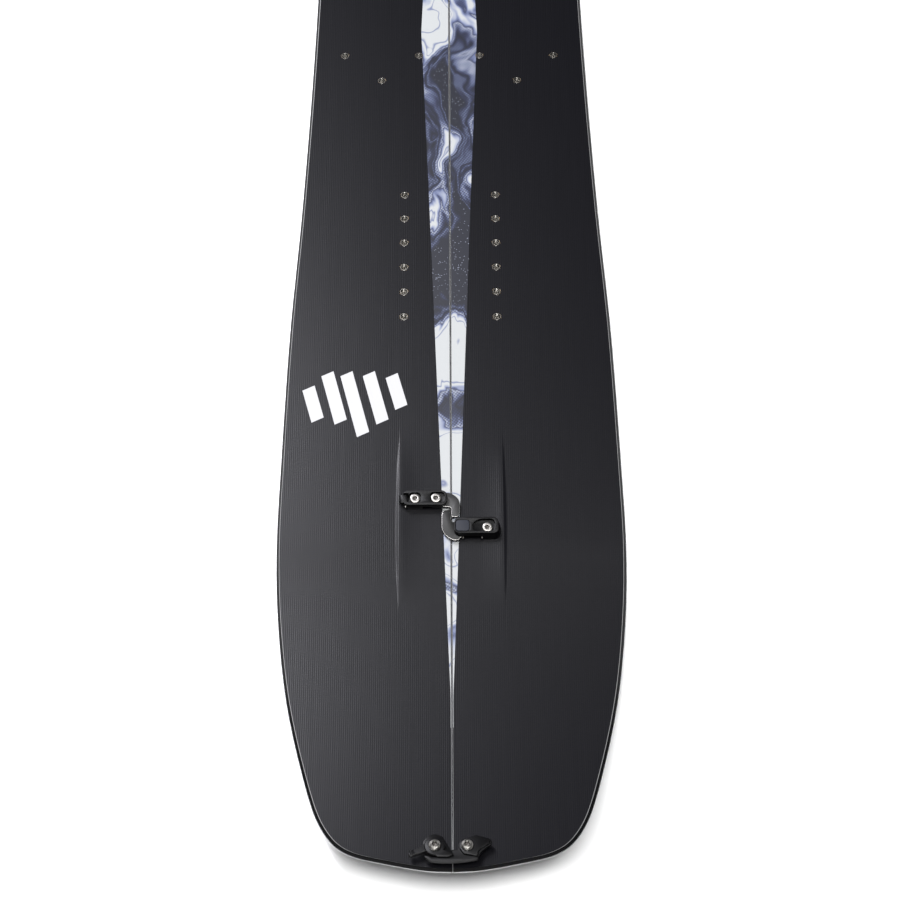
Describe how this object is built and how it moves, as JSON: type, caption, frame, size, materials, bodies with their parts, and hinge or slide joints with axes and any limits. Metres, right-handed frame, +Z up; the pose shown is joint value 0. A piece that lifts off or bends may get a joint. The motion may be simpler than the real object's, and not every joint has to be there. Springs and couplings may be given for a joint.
{
  "type": "splitboard",
  "caption": "Splitboard: a snowboard sawn lengthwise into two skis with wood cores, steel edges and threaded inserts, joined by hooked seam clips and a swinging bar and lever at each end.",
  "frame": {"origin": "centre of the bounding box in plan, on the plane that the base lies on", "axes": "+X across the board to the right seen from above with the nose towards the viewer, +Y from the nose to the tail, +Z up from the base to the topsheet; the seam is the plane x = 0"},
  "size_m": [0.2936, 1.584, 0.0515],
  "materials": {
    "topsheet": "satin",
    "core": "raw",
    "base": "waxed, with a fine linear structure",
    "edge": "ground",
    "sidewall": "machined satin",
    "insert": "bright stainless",
    "body": "glass-filled, slightly rough",
    "hook": "blasted, with bright edges",
    "button": "matte",
    "screw": "bright stainless"
  },
  "bodies": {
    "left_ski": {"left_topsheet": "topsheet", "left_core": "core", "left_base": "base", "left_outer_edge": "edge", "left_inner_edge": "edge", "left_outer_sidewall": "sidewall", "left_inner_sidewall": "sidewall", "left_front_binding_inserts": "insert", "left_rear_binding_inserts": "insert", "left_touring_inserts": "insert", "left_riser_inserts": "insert", "front_lever_body": "body", "front_lever_pin": "screw", "front_outer_screw": "screw", "front_inner_screw": "screw", "rear_button_body": "body", "rear_pivot_screw": "screw", "rear_body_screw": "screw", "nose_lever_base": "body", "nose_lever_screw": "screw", "tail_bar_spacer": "body", "tail_bar_screw": "screw"},
    "right_ski": {"right_topsheet": "topsheet", "right_core": "core", "right_base": "base", "right_outer_edge": "edge", "right_inner_edge": "edge", "right_outer_sidewall": "sidewall", "right_inner_sidewall": "sidewall", "right_front_binding_inserts": "insert", "right_rear_binding_inserts": "insert", "right_touring_inserts": "insert", "right_riser_inserts": "insert", "rear_lever_body": "body", "rear_lever_pin": "screw", "rear_outer_screw": "screw", "rear_inner_screw": "screw", "front_button_body": "body", "front_pivot_screw": "screw", "front_body_screw": "screw", "nose_bar_spacer": "body", "nose_bar_screw": "screw", "tail_lever_base": "body", "tail_lever_screw": "screw"},
    "front_sliding_claw": {"front_lever_hook": "hook"},
    "front_tension_lever": {"front_lever": "body"},
    "front_swinging_claw": {"front_button_hook": "hook"},
    "front_release_button": {"front_button": "button"},
    "rear_sliding_claw": {"rear_lever_hook": "hook"},
    "rear_tension_lever": {"rear_lever": "body"},
    "rear_swinging_claw": {"rear_button_hook": "hook"},
    "rear_release_button": {"rear_button": "button"},
    "nose_clip_lever": {"nose_lever": "body"},
    "nose_clip_bar": {"nose_bar": "body"},
    "tail_clip_lever": {"tail_lever": "body"},
    "tail_clip_bar": {"tail_bar": "body"}
  },
  "joints": [
    {"name": "skis_slide_apart", "type": "slide", "parent": "left_ski", "child": "right_ski", "axis": [0, -1, 0], "range_m": [0, 0.012]},
    {"name": "front_claw_slide", "type": "slide", "parent": "left_ski", "child": "front_sliding_claw", "axis": [1, 0, 0], "range_m": [0, 0.002]},
    {"name": "front_lever_turn", "type": "hinge", "parent": "left_ski", "child": "front_tension_lever", "pos_m": [-0.0382, -0.4692, 0.0128], "axis": [0, 1, 0], "range_deg": [0, 85]},
    {"name": "front_claw_swing", "type": "hinge", "parent": "right_ski", "child": "front_swinging_claw", "pos_m": [0.0094, -0.4952, 0.0112], "axis": [0, 0, 1], "range_deg": [0, 125]},
    {"name": "front_button_press", "type": "slide", "parent": "right_ski", "child": "front_release_button", "axis": [0, 0, -1], "range_m": [0, 0.0011], "stiffness_N_per_m": 800},
    {"name": "rear_claw_slide", "type": "slide", "parent": "right_ski", "child": "rear_sliding_claw", "axis": [-1, 0, 0], "range_m": [0, 0.002]},
    {"name": "rear_lever_turn", "type": "hinge", "parent": "right_ski", "child": "rear_tension_lever", "pos_m": [0.0382, 0.4692, 0.0128], "axis": [0, -1, 0], "range_deg": [0, 85]},
    {"name": "rear_claw_swing", "type": "hinge", "parent": "left_ski", "child": "rear_swinging_claw", "pos_m": [-0.0094, 0.4952, 0.0112], "axis": [0, 0, 1], "range_deg": [0, 125]},
    {"name": "rear_button_press", "type": "slide", "parent": "left_ski", "child": "rear_release_button", "axis": [0, 0, -1], "range_m": [0, 0.0011], "stiffness_N_per_m": 800},
    {"name": "nose_lever_turn", "type": "hinge", "parent": "left_ski", "child": "nose_clip_lever", "pos_m": [-0.0137, -0.7738, 0.04482], "axis": [0, -0.2425, -0.9702], "range_deg": [0, 125]},
    {"name": "nose_bar_swing", "type": "hinge", "parent": "right_ski", "child": "nose_clip_bar", "pos_m": [0.011, -0.7738, 0.04482], "axis": [0, 0.2425, 0.9702], "range_deg": [0, 100]},
    {"name": "tail_lever_turn", "type": "hinge", "parent": "right_ski", "child": "tail_clip_lever", "pos_m": [0.0137, 0.77414, 0.03427], "axis": [0, 0.1938, -0.981], "range_deg": [0, 125]},
    {"name": "tail_bar_swing", "type": "hinge", "parent": "left_ski", "child": "tail_clip_bar", "pos_m": [-0.011, 0.77414, 0.03427], "axis": [0, -0.1938, 0.981], "range_deg": [0, 100]}
  ],
  "couplings": [
    {"joint": "front_lever_turn", "follows": "front_claw_slide", "rad_per_m": 741.7},
    {"joint": "rear_lever_turn", "follows": "rear_claw_slide", "rad_per_m": 741.7}
  ]
}
